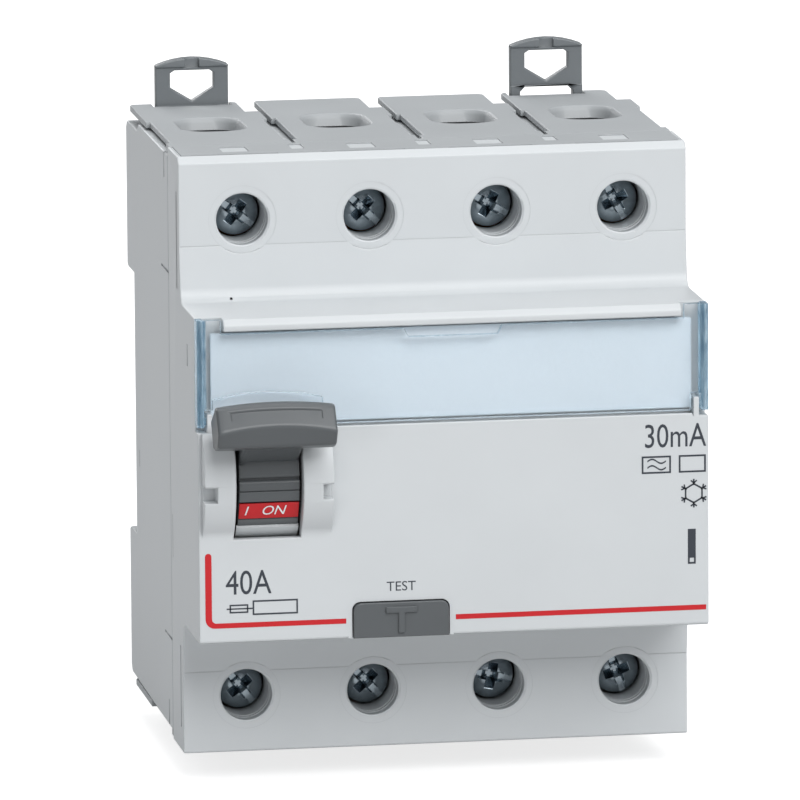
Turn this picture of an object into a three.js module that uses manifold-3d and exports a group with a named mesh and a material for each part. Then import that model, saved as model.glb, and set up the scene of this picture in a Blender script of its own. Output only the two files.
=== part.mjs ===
// A four-pole residual current device for a 35 mm DIN rail, as an assembly of its pieces.
//
// Millimetres. X runs along the rail, Y points back through the rail, Z is up.
// The origin is the middle of the flat that bears on the rail, at the rail's centre line.

import * as THREE from 'three';
import { mergeVertices } from 'three/addons/utils/BufferGeometryUtils.js';
import Module from 'manifold-3d';

const wasm = await Module();
wasm.setup();

// ---------------------------------------------------------------- driving dimensions

const POLE = 17.8; // width of one pole
const POLES = [-1.5, -0.5, 0.5, 1.5].map((step) => step * POLE);
const HALF = 2 * POLE; // half of the whole width
const WALL = 1.6;
const GAP = 0.3; // clearance between pieces that nearly touch

const TOP = 41.2;
const BOTTOM = -42.6;
const SHOULDER = -44; // front of the terminal shoulders
const NOSE = -60; // front of the operating nose
const NOSE_TOP = 21.1;
const NOSE_BOTTOM = -24;
const SPLIT = -34; // joint between cover and base
const BACK = 6.7; // rear of the two blocks that straddle the rail
const RAIL_TOP = 17.8; // channel for the rail
const RAIL_BOTTOM = -19.7;

const ROWS = [
  { name: 'top', z: 32.3, side: 1, plate: TOP },
  { name: 'bottom', z: -34.6, side: -1, plate: BOTTOM },
];
const BORE = 3.6; // radius of a screwdriver hole
const BOSS = 4.7;
const SCREW_FACE = -37.5; // face of a screw head, deep in its hole
const HEAD = { radius: 3.3, depth: 3.2 };
const SHANK = 2.3;
const SHANK_TIP = -24.2;
const ENTRY = { y: -15, width: 9.4, depth: 13.2 }; // cable entry in each terminal cover

const AXIS = { y: -52.1, z: -1.5 }; // toggle's pivot
const LIFT = THREE.MathUtils.degToRad(31.7); // how far the toggle points up when on
const DRUM = 9.6;
const CHEEK = 10.9;
const SLOT = [-30.7, -21.4]; // opening in the nose for the toggle
const DRUM_X = [-30.1, -21.8];

const WINDOW = { front: -59.95, back: -58.95, bottom: 6.2, top: 19.1, hinge: [-58.9, 6.9] };
const POCKET = { back: -57.5, bottom: 5.5 };
const LIP = 31.9; // half width of the cover's lip above the window

const BUTTON = { x: [-14.2, -0.9], z: [-23.9, -19], front: -60.4, back: -56.4 };
const BUTTON_X = (BUTTON.x[0] + BUTTON.x[1]) / 2;
const SPRING_Z = -20.2;

const CLIP = { half: 5.2, front: 2.6, back: 4.4, length: 30.5 };
const CLIPS = [
  { name: 'din_clip_upper_left', x: -26.6, crown: 48, side: 1 },
  { name: 'din_clip_upper_right', x: 24.4, crown: 49.3, side: 1 },
  { name: 'din_clip_lower_left', x: -26.6, crown: 46.7, side: -1 },
  { name: 'din_clip_lower_right', x: 24.4, crown: 46.7, side: -1 },
];

const CORE = { x: POLES[2], y: -18, outer: 14.5, inner: 7.8, z: [-19.5, -6.5] };
const LANES = [-13.5, -16.2, -22.5, -18.9]; // depth at which each pole threads the core
const BAR = [-23.6, -22]; // thickness of a terminal bar, front to back
const SHAFT = { y: -29, z: 3, radius: 3 };
const LINK = { x: -26, z: 2, rear: -34.5, front: -44.8 }; // pins at both ends of the drive link

// ---------------------------------------------------------------- materials

function material(color, roughness, metalness = 0, opacity = 1) {
  const transparent = opacity < 1;
  return new THREE.MeshStandardMaterial({ color, roughness, metalness, opacity, transparent });
}

const casing = material(0xc9cccd, 0.55);
const covers = material(0xb4b8ba, 0.55);
const darkPlastic = material(0x5b6063, 0.5);
const clipPlastic = material(0x858a8e, 0.5);
const red = material(0xd22630, 0.5);
const clear = material(0xc4e2ef, 0.1, 0, 0.4);
const paper = material(0xcfe0ea, 0.8);
const zinc = material(0x7d858c, 0.3, 1);
const steel = material(0x9aa0a4, 0.35, 1);
const copper = material(0xb87348, 0.35, 1);
const silver = material(0xc9ccd0, 0.3, 1);
const ferrite = material(0x2f3236, 0.6);
const lacquer = material(0x9c4a24, 0.35, 0.4);
const black = material(0x26282b, 0.6);

// ---------------------------------------------------------------- solids

// A closed geometry as a solid that can be cut and joined.
function solid(geometry) {
  const bare = new THREE.BufferGeometry();
  bare.setAttribute('position', geometry.getAttribute('position'));
  bare.setIndex(geometry.getIndex());
  const merged = mergeVertices(bare, 1e-4);
  const vertProperties = Float32Array.from(merged.getAttribute('position').array);
  const triVerts = Uint32Array.from(merged.getIndex().array);
  return new wasm.Manifold(new wasm.Mesh({ numProp: 3, vertProperties, triVerts }));
}

function box([x0, x1], [y0, y1], [z0, z1]) {
  const geometry = new THREE.BoxGeometry(x1 - x0, y1 - y0, z1 - z0);
  return solid(geometry.translate((x0 + x1) / 2, (y0 + y1) / 2, (z0 + z1) / 2));
}

// A round bar along an axis; the centre is given in the two other coordinates.
function rod(axis, radius, [from, to], [a, b], sides = 24) {
  const geometry = new THREE.CylinderGeometry(radius, radius, to - from, sides);
  const middle = (from + to) / 2;
  if (axis === 'x') geometry.rotateZ(-Math.PI / 2).translate(middle, a, b);
  if (axis === 'y') geometry.translate(a, middle, b);
  if (axis === 'z') geometry.rotateX(Math.PI / 2).translate(a, b, middle);
  return solid(geometry);
}

// An outline pushed along an axis: (y, z) points for x, (x, z) for y and (x, y) for z.
function prism(axis, outline, [from, to]) {
  const shape = new THREE.Shape(outline.map(([u, v]) => new THREE.Vector2(u, v)));
  const geometry = new THREE.ExtrudeGeometry(shape, { depth: to - from, bevelEnabled: false });
  if (axis === 'x') geometry.rotateX(Math.PI / 2).rotateZ(Math.PI / 2).translate(from, 0, 0);
  if (axis === 'y') geometry.rotateX(Math.PI / 2).translate(0, to, 0);
  if (axis === 'z') geometry.translate(0, 0, from);
  return solid(geometry);
}

function joined(...bodies) {
  return bodies.flat().reduce((whole, body) => whole.add(body));
}

function cut(body, ...tools) {
  return tools.flat().reduce((left, tool) => left.subtract(tool), body);
}

function around(middle, half) {
  return [middle - half, middle + half];
}

// Points on an arc, from one angle to another in degrees.
function arc([u, v], radius, from, to, steps = 4) {
  return Array.from({ length: steps + 1 }, (_, step) => {
    const angle = THREE.MathUtils.degToRad(from + ((to - from) * step) / steps);
    return [u + radius * Math.cos(angle), v + radius * Math.sin(angle)];
  });
}

function roundedRectangle([u0, u1], [v0, v1], radius, steps = 3) {
  return [
    ...arc([u1 - radius, v0 + radius], radius, -90, 0, steps),
    ...arc([u1 - radius, v1 - radius], radius, 0, 90, steps),
    ...arc([u0 + radius, v1 - radius], radius, 90, 180, steps),
    ...arc([u0 + radius, v0 + radius], radius, 180, 270, steps),
  ];
}

// A coil spring along Y.
function coil({ x, z, radius, wire, turns, from, to }) {
  const steps = turns * 10;
  const points = Array.from({ length: steps + 1 }, (_, step) => {
    const angle = (step / 10) * 2 * Math.PI;
    const y = from + ((to - from) * step) / steps;
    return new THREE.Vector3(x + radius * Math.cos(angle), y, z + radius * Math.sin(angle));
  });
  const section = new THREE.Shape(arc([0, 0], wire, 0, 300, 5).map((p) => new THREE.Vector2(...p)));
  const extrudePath = new THREE.CatmullRomCurve3(points);
  return solid(new THREE.ExtrudeGeometry(section, { steps, extrudePath, bevelEnabled: false }));
}

const device = new THREE.Group();

function piece(name, body, look) {
  const { vertProperties, triVerts } = body.getMesh();
  const geometry = new THREE.BufferGeometry();
  geometry.setAttribute('position', new THREE.BufferAttribute(vertProperties, 3));
  geometry.setIndex(new THREE.BufferAttribute(triVerts, 1));
  geometry.computeVertexNormals();
  const mesh = new THREE.Mesh(geometry, look);
  mesh.name = name;
  device.add(mesh);
}

// ---------------------------------------------------------------- casing

// The front moulding: two terminal shoulders and the nose between them.
function cover() {
  const outline = [
    [SPLIT, TOP],
    [SHOULDER + 1, TOP],
    [SHOULDER, TOP - 0.9],
    [SHOULDER, 28.6],
    [SHOULDER - 0.6, NOSE_TOP + 2],
    ...arc([SHOULDER - 2.6, NOSE_TOP + 2], 2, 0, -90),
    [NOSE + 0.8, NOSE_TOP],
    [NOSE, NOSE_TOP - 0.8],
    [NOSE, NOSE_BOTTOM + 0.3],
    [NOSE + 0.3, NOSE_BOTTOM],
    ...arc([SHOULDER - 2.6, NOSE_BOTTOM - 2], 2, 90, 0),
    [SHOULDER, -31],
    [SHOULDER, BOTTOM + 0.9],
    [SHOULDER + 1, BOTTOM],
    [SPLIT, BOTTOM],
  ];
  const hollow = [
    [SPLIT + 1, TOP - WALL],
    [SHOULDER + WALL, TOP - WALL],
    [SHOULDER + WALL, NOSE_TOP - WALL],
    [NOSE + WALL, NOSE_TOP - WALL],
    [NOSE + WALL, NOSE_BOTTOM + WALL],
    [SHOULDER + WALL, NOSE_BOTTOM + WALL],
    [SHOULDER + WALL, BOTTOM + WALL],
    [SPLIT + 1, BOTTOM + WALL],
  ];
  const inside = HALF - WALL;
  let body = cut(prism('x', outline, [-HALF, HALF]), prism('x', hollow, [-inside, inside]));

  // Pocket for the label and its window, with hinge lugs in its lower corners.
  const backing = box([-HALF, HALF], [POCKET.back, POCKET.back + WALL], [3.9, NOSE_TOP - 0.5]);
  const lip = box([-LIP, LIP], [NOSE - 1, POCKET.back], [WINDOW.top + GAP, NOSE_TOP + 1]);
  const pocket = box([-40, 40], [NOSE - 1, POCKET.back], [POCKET.bottom, NOSE_TOP + 1]);
  body = cut(joined(body, backing), cut(pocket, lip));
  for (const side of [-1, 1]) {
    const ends = [side * 33.5, side * 34.3].sort((a, b) => a - b);
    const lug = box(ends, [NOSE, POCKET.back + 0.2], [POCKET.bottom - 0.2, 8.1]);
    body = joined(body, cut(lug, rod('x', 0.75, [side * 34 - 1, side * 34 + 1], WINDOW.hinge, 12)));
  }

  // Round cheeks on both sides of the toggle, each with a small notch at its outer end.
  const front = box([-40, 40], [NOSE - 5, NOSE + 0.8], [-15, POCKET.bottom]);
  for (const [from, to, notch] of [[-35.1, SLOT[0], [-36, -33.3]], [SLOT[1], -17.1, [-18.6, -16]]]) {
    const cheek = rod('x', CHEEK, [from, to], [AXIS.y, AXIS.z], 48).intersect(front);
    body = joined(body, cut(cheek, box(notch, [NOSE - 5, NOSE - GAP], [-3.8, -1.7])));
  }
  body = cut(body, box(SLOT, [NOSE - 5, POCKET.back + 2], [-9.5, 8.6]));

  // Opening for the test button, through the nose's lower edge, and the seat of its spring.
  const [left, right] = BUTTON.x;
  body = cut(
    body,
    box([left - GAP, right + GAP], [NOSE - 1, NOSE + 2], [NOSE_BOTTOM - 1, BUTTON.z[1] + GAP]),
    box([left - GAP, right + GAP], [NOSE - 1, -53.6], [NOSE_BOTTOM - 1, NOSE_BOTTOM + WALL + 0.2]),
  );
  body = joined(body, box(around(BUTTON_X, 2), [-49.9, -48.7], [NOSE_BOTTOM + 1, -17.8]));

  // Screwdriver holes, each in a tube that reaches the screw head.
  for (const { z } of ROWS) {
    for (const x of POLES) {
      body = joined(body, rod('y', BOSS, [SHOULDER + 1, -35.5], [x, z]));
      body = cut(body, rod('y', BOSS, [SHOULDER - 2, SHOULDER], [x, z]));
      body = cut(body, rod('y', BORE, [SHOULDER - 2, -35], [x, z]));
    }
  }
  return body;
}

// The rear moulding: floor, rail channel, cable openings and walls between the poles.
function base() {
  const front = SPLIT + GAP;
  const floor = TOP - 1.2;
  const underside = BOTTOM + 1.2;
  const outline = [
    [front, floor],
    [-5.4, floor],
    [-4.4, floor - 1.1],
    [BACK - 1, floor - 1.1],
    [BACK, floor - 2.1],
    [BACK, RAIL_TOP + 0.5],
    [BACK - 1.1, RAIL_TOP],
    [0, RAIL_TOP],
    [0, RAIL_BOTTOM],
    [BACK - 1.1, RAIL_BOTTOM],
    [BACK, RAIL_BOTTOM - 0.5],
    [BACK, underside + 1.2],
    [BACK - 0.8, underside + 0.4],
    [front, underside],
  ];
  const hollow = [
    [front - 1, floor - WALL],
    [-6.4, floor - WALL],
    [-5.4, floor - 1.1 - WALL],
    [BACK - WALL, floor - 1.1 - WALL],
    [BACK - WALL, RAIL_TOP + WALL],
    [-WALL, RAIL_TOP + WALL],
    [-WALL, RAIL_BOTTOM - WALL],
    [BACK - WALL, RAIL_BOTTOM - WALL],
    [BACK - WALL, underside + 0.4 + WALL],
    [front - 1, underside + WALL],
  ];
  const inside = HALF - WALL;
  let body = cut(prism('x', outline, [-HALF, HALF]), prism('x', hollow, [-inside, inside]));
  for (const x of [-POLE, 0, POLE]) {
    body = joined(
      body,
      box(around(x, 0.6), [front, -WALL], [22, floor - 1]),
      box(around(x, 0.6), [front, -WALL], [underside + 1, -27]),
    );
  }
  body = joined(body, box([-1.5, 1.5], [-7.7, -WALL + 0.4], [8, 12])); // post for the opening spring
  for (const x of POLES) {
    const mouth = [around(x, 5.7), around(ENTRY.y, 7.7)];
    body = cut(body, box(...mouth, [floor - 3, TOP]), box(...mouth, [BOTTOM, underside + 3]));
  }
  for (const { x, side } of CLIPS) {
    const ends = side > 0 ? [RAIL_TOP - 1, TOP + 1] : [BOTTOM - 1, RAIL_BOTTOM + 1];
    body = cut(body, box(around(x, CLIP.half + GAP), [1, CLIP.back + GAP], ends));
  }
  return body;
}

// One plate over a terminal, with the collar that guides the cable in.
function terminalCover(pole, { side, plate }) {
  const x = POLES[pole];
  const outline = [
    [x - 8.3, 5],
    [x - 8.6, 4.4],
    [x - 8.6, -11.4],
    [x - 8, -11.4],
    [x - 8, -30.7],
    [x - 8.6, -30.7],
    [x - 8.6, SPLIT + GAP],
    [x + 8.6, SPLIT + GAP],
    [x + 8.6, -30.7],
    [x + 8, -30.7],
    [x + 8, -11.4],
    [x + 8.6, -11.4],
    [x + 8.6, -4.4],
    [x + 6.6, -4.4],
    [x + 6.6, 4.3],
    [x + 5.9, 5],
  ];
  const reach = side > 0 ? 3.7 : 2.8; // how far the collar reaches in
  const level = (near, far) => [plate - side * near, plate - side * far].sort((a, b) => a - b);
  const hole = roundedRectangle(around(x, ENTRY.width / 2), around(ENTRY.y, ENTRY.depth / 2), 4);
  const rim = roundedRectangle(around(x, 5.4), around(ENTRY.y, 7.3), 4.6);
  let body = joined(prism('z', outline, level(0, 0.9)), prism('z', rim, level(0.4, 0.9 + reach)));
  body = cut(body, prism('z', hole, level(-1, 6)));
  for (const clip of CLIPS.filter((one) => one.side === side && Math.abs(one.x - x) < 5)) {
    body = cut(body, box(around(clip.x, CLIP.half + GAP), [2.2, 6], level(-1, 2)));
  }
  return body;
}

// A sliding clip: a pull tab with a shield-shaped eye, two legs and a hook for the rail.
function dinClip({ x, crown, side }) {
  const { half, front, back, length } = CLIP;
  const up = (drop) => side * (crown - drop);
  const rise = (outline) => outline.map(([u, drop]) => [x + u, up(drop)]);
  const edge = [
    ...[-1, -0.75, -0.5, -0.25, 0, 0.25, 0.5, 0.75, 1].map((t) => [half * t, 1.05 * t * t]),
    [half, length],
    [-half, length],
  ];
  const eye = [[-3.1, 2.2], [-2.5, 1.8], [2.5, 1.8], [3.1, 2.2], [3.1, 4.3], [0, 6.2], [-3.1, 4.3]];
  const gap = [[-3.8, 7.7], [-3, 6.9], [3, 6.9], [3.8, 7.7], [3.8, 14], [-3.8, 14]];
  const notch = box(around(x, 1), [front - 1, front + 0.7], [up(1.4), up(-1)].sort((a, b) => a - b));
  const hook = box(around(x, half), [2.1, front + 0.5], [up(length), up(length - 1.5)].sort((a, b) => a - b));
  const plate = prism('y', rise(edge), [front, back]);
  const holes = [eye, gap].map((hole) => prism('y', rise(hole), [front - 1, back + 1]));
  return joined(cut(plate, holes, notch), hook);
}

// ---------------------------------------------------------------- label

function labelWindow() {
  const { front, back, bottom, top, hinge } = WINDOW;
  const outline = [
    [-HALF, bottom],
    [HALF, bottom],
    [HALF, NOSE_TOP],
    [LIP + GAP, NOSE_TOP],
    [LIP + GAP, top],
    [6.8, top],
    [6.2, top - 1.2],
    [-6.2, top - 1.2],
    [-6.8, top],
    [-LIP - GAP, top],
    [-LIP - GAP, NOSE_TOP],
    [-HALF, NOSE_TOP],
  ];
  let body = prism('y', outline, [front, back]);
  const arch = [[-33.4, 0], [-33.4, 9.9], [-29.5, 10.7], [-25.4, 10.9], [-21.5, 10.6], [-18.2, 9.9], [-18.2, 0]];
  body = cut(body, prism('y', arch, [front - 1, back + 1]));
  for (const side of [-1, 1]) {
    const place = (a, b) => [side * a, side * b].sort((p, q) => p - q);
    body = cut(body, box(place(33.2, 34.6), [front - 1, back + 1], [0, 8.6]));
    body = joined(
      body,
      box(place(34.6, HALF), [front, back + 1.1], [bottom, NOSE_TOP]),
      rod('x', 0.5, place(33.7, 34.9), hinge, 12),
    );
  }
  return body;
}

// ---------------------------------------------------------------- toggle

// A point given by its distance out along the toggle and its height across it.
function onToggle([out, across]) {
  return [
    AXIS.y - out * Math.cos(LIFT) + across * Math.sin(LIFT),
    AXIS.z + out * Math.sin(LIFT) + across * Math.cos(LIFT),
  ];
}

function drumSector(inner, outer, from, to, x) {
  const centre = [AXIS.y, AXIS.z];
  return prism('x', [...arc(centre, outer, from, to), ...arc(centre, inner, to, from)], x);
}

function toggleLever() {
  const grip = [
    [14, -2.2],
    [16.4, -3.2],
    [17.9, -3.4],
    [20.2, -1.4],
    [19.8, 1.7],
    [19, 2.5],
    [16.5, 2.4],
    [14, 2.2],
  ];
  const neck = [[4, -2.2], [15, -2.2], [15, 2.2], [4, 2.2]];
  const body = joined(
    rod('x', DRUM, DRUM_X, [AXIS.y, AXIS.z], 48),
    prism('x', neck.map(onToggle), DRUM_X),
    prism('x', grip.map(onToggle), [-34.2, -17.7]),
  );
  return cut(
    body,
    rod('x', 1.9, [-40, -10], [AXIS.y, AXIS.z], 16),
    drumSector(DRUM - 0.65, DRUM + 1, 195.6, 213.4, [DRUM_X[0] - 1, DRUM_X[1] + 1]),
    drumSector(5.8, DRUM + 1, -80, 80, [-28, -24]), // groove for the drive link
  );
}

// ---------------------------------------------------------------- terminals and current path

function terminalScrew(x, z) {
  const body = joined(
    rod('y', HEAD.radius, [SCREW_FACE, SCREW_FACE + HEAD.depth], [x, z], 20),
    rod('y', SHANK, [SCREW_FACE + HEAD.depth - 0.5, SHANK_TIP], [x, z], 12),
  );
  const depth = [SCREW_FACE - 1, SCREW_FACE + 1.8];
  return cut(body, box(around(x, 2.3), depth, around(z, 0.5)), box(around(x, 0.5), depth, around(z, 2.3)));
}

function clampCage(x, z) {
  const frame = box(around(x, 6.2), [-27.5, -8.5], around(z, 3.9));
  const cable = box(around(x, 5), [-25.3, -9.7], around(z, 5));
  return cut(frame, cable, rod('y', 2.6, [-29, -24], [x, z], 16));
}

function lineTerminal(x) {
  return joined(
    box(around(x, 4.2), BAR, [11, ROWS[0].z + 3.7]),
    box(around(x, 2.5), [BAR[0] - 3.3, BAR[0] + 0.5], [11, 15]),
  );
}

// The conductor from a lower terminal, across to the core, up through it and back to its pole.
function loadConductor(pole) {
  const x = POLES[pole];
  const lane = around(LANES[pole], 1);
  const across = [Math.min(x, CORE.x) - 1, Math.max(x, CORE.x) + 1];
  return joined(
    box(around(x, 4.2), BAR, [ROWS[1].z - 3.7, -24]),
    box(around(x, 1), [BAR[0], lane[1]], [-26, -24]),
    box(across, lane, [-26, -24]),
    box(around(CORE.x, 1), lane, [-26, 1]),
    box(across, lane, [-1, 1]),
    box(around(x, 1), [SHAFT.y + 3.8, lane[1]], [-1, 1]),
  );
}

function movingContact(x) {
  return joined(
    box(around(x, 1.5), [-29.8, -28.2], [SHAFT.z + SHAFT.radius + GAP, 14.5]),
    rod('y', 1.3, [-28.5, BAR[0] - 3.3 - GAP], [x, 13], 12),
  );
}

function contactCarrier() {
  const lug = box([-1.2, 1.2], [SHAFT.y - 1, SHAFT.y + 1], [SHAFT.z, 12]);
  return joined(rod('x', SHAFT.radius, [-33.4, 33.4], [SHAFT.y, SHAFT.z], 20), lug);
}

// ---------------------------------------------------------------- residual current trip

function ring(outer, inner, z) {
  const centre = [CORE.x, CORE.y];
  return cut(rod('z', outer, z, centre, 36), rod('z', inner, [z[0] - 1, z[1] + 1], centre, 36));
}

function winding() {
  const [low, high] = CORE.z;
  const sleeve = cut(ring(CORE.outer + 0.9, CORE.inner - 0.9, [low - 0.9, high + 0.9]),
    ring(CORE.outer + GAP, CORE.inner - GAP, [low - GAP, high + GAP]));
  return sleeve.intersect(box([13, 26], [-24, -12], [-30, 0]));
}

// A flat link with an eye at the carrier and a pin that rides in the drum's groove.
function driveLink() {
  const { x, z, rear, front } = LINK;
  return joined(
    box(around(x, 1), [front, rear], around(z, 1)),
    rod('x', 1.5, around(x, 1), [rear, z], 16),
    rod('x', 1, around(x, 1), [front, z], 16),
    rod('x', 0.7, around(x, 1.6), [front, z], 12),
  );
}

function mechanismFrame() {
  const plate = [-55.4, -37.2];
  const height = [-12, 10];
  const body = joined(
    box([-32.3, -31.3], plate, height),
    box([-20.7, -19.7], plate, height),
    box([-32.3, -19.7], [-38.2, -37.2], height),
  );
  return cut(
    body,
    rod('x', 1.9, [-40, -10], [AXIS.y, AXIS.z], 16),
    box([-28, -24], [-39, -36], [-1, 5]),
  );
}

// ---------------------------------------------------------------- assembly

piece('front_cover', cover(), casing);
piece('rear_base', base(), casing);
for (const row of ROWS) {
  POLES.forEach((x, pole) => {
    const number = `${row.name}_${pole + 1}`;
    piece(`terminal_cover_${number}`, terminalCover(pole, row), covers);
    piece(`terminal_screw_${number}`, terminalScrew(x, row.z), zinc);
    piece(`clamp_cage_${number}`, clampCage(x, row.z), steel);
  });
}
for (const clip of CLIPS) piece(clip.name, dinClip(clip), clipPlastic);

piece('label_card', box([-33.2, 33.2], [-58.3, -58], [6.6, 18.9]), paper);
piece('label_window', labelWindow(), clear);

piece('toggle_lever', toggleLever(), darkPlastic);
piece('on_flag', drumSector(DRUM - 0.35, DRUM, 197.2, 212, DRUM_X), red);
piece('toggle_axle', rod('x', 1.5, [-33.7, -18.3], [AXIS.y, AXIS.z], 16), steel);
piece('mechanism_frame', mechanismFrame(), steel);
piece('drive_link', driveLink(), steel);
piece('contact_carrier', contactCarrier(), black);
piece('opening_spring', coil({ x: 0, z: 10, radius: 2.2, wire: 0.4, turns: 6, from: -27.4, to: -8.4 }), steel);

const [buttonLeft, buttonRight] = BUTTON.x;
const [buttonLow, buttonHigh] = BUTTON.z;
const buttonFace = [
  [buttonLeft, buttonLow],
  [buttonRight, buttonLow],
  ...arc([buttonRight - 1, buttonHigh - 1], 1, 0, 90, 3),
  ...arc([buttonLeft + 1, buttonHigh - 1], 1, 90, 180, 3),
];
const testButton = joined(
  prism('y', buttonFace, [BUTTON.front, BUTTON.back]),
  box(around(BUTTON_X, 1.5), [BUTTON.back - 1, -54], around(SPRING_Z, 1.5)),
  box(around(BUTTON_X, 2.2), [BUTTON.front - 0.3, BUTTON.front + 0.5], [-20.5, -19.6]),
  box(around(BUTTON_X, 0.45), [BUTTON.front - 0.3, BUTTON.front + 0.5], [-23.3, -19.6]),
);
piece('test_button', testButton, darkPlastic);
const springSpan = { from: -53.2, to: -50.7 };
piece('test_spring', coil({ x: BUTTON_X, z: SPRING_Z, radius: 1.5, wire: 0.3, turns: 3, ...springSpan }), steel);
const resistor = joined(
  rod('x', 2, [10, 20], [-46, -14], 16),
  rod('x', 0.4, [5, 25], [-46, -14], 8),
);
piece('test_resistor', resistor, lacquer);

piece('summation_core', ring(CORE.outer, CORE.inner, CORE.z), ferrite);
piece('secondary_winding', winding(), lacquer);
piece('trip_relay', box([12, 28], [-55, -42], [2, 14]), black);
piece('relay_plunger', rod('x', 1, [8.6, 11.7], [-48, 8], 12), steel);
piece('trip_bar', box([-17.6, 7.9], [-49, -47], [7, 9]), darkPlastic);
POLES.forEach((x, pole) => {
  piece(`line_terminal_${pole + 1}`, lineTerminal(x), copper);
  piece(`load_conductor_${pole + 1}`, loadConductor(pole), copper);
  piece(`moving_contact_${pole + 1}`, movingContact(x), silver);
});

export default device;
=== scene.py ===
import math

import bmesh
import bpy
from mathutils import Matrix, Vector


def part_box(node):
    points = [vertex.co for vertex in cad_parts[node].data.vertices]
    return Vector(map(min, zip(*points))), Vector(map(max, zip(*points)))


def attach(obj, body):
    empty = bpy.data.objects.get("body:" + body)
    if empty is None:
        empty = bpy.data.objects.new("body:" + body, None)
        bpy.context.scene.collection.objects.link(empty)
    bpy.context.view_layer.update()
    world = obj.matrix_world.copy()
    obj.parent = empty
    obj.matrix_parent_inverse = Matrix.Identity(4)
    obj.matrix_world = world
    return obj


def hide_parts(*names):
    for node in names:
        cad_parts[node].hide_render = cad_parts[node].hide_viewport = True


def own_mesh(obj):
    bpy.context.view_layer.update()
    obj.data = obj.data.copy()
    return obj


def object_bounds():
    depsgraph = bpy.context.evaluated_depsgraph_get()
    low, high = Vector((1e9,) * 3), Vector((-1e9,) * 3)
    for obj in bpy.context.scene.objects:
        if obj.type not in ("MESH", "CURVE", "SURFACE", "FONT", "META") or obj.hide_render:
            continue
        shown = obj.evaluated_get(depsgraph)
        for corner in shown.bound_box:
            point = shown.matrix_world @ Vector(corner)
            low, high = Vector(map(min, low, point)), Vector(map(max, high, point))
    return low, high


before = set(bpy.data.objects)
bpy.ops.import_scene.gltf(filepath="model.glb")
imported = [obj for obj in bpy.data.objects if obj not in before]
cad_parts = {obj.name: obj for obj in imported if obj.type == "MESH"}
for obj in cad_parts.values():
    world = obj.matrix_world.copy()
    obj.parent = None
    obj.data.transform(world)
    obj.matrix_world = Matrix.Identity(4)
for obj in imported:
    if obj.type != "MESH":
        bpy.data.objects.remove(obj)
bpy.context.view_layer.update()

# ------------------------------------------------------------------ front cover
# The front half of the casing: one injection moulding in light grey polyamide, with a nose
# between two terminal shoulders. It snaps onto the rear base; its faces have a fine spark
# eroded grain, and every outer edge is slightly rounded.

MM = 0.001
POLES = (-26.7, -8.9, 8.9, 26.7)
POLE_JOINTS = (-17.8, 0, 17.8)
# each terminal end: its name, the way it faces, its screws' Z and its plates' outer Z
ROWS = (("top", 1, 32.3, 41.2), ("bottom", -1, -34.6, -42.6))
HALF = 35.6  # half the casing's width
SHOULDER = -44.0  # Y of the terminal shoulders' face
NOSE = -60.0  # Y of the nose's face


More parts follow.
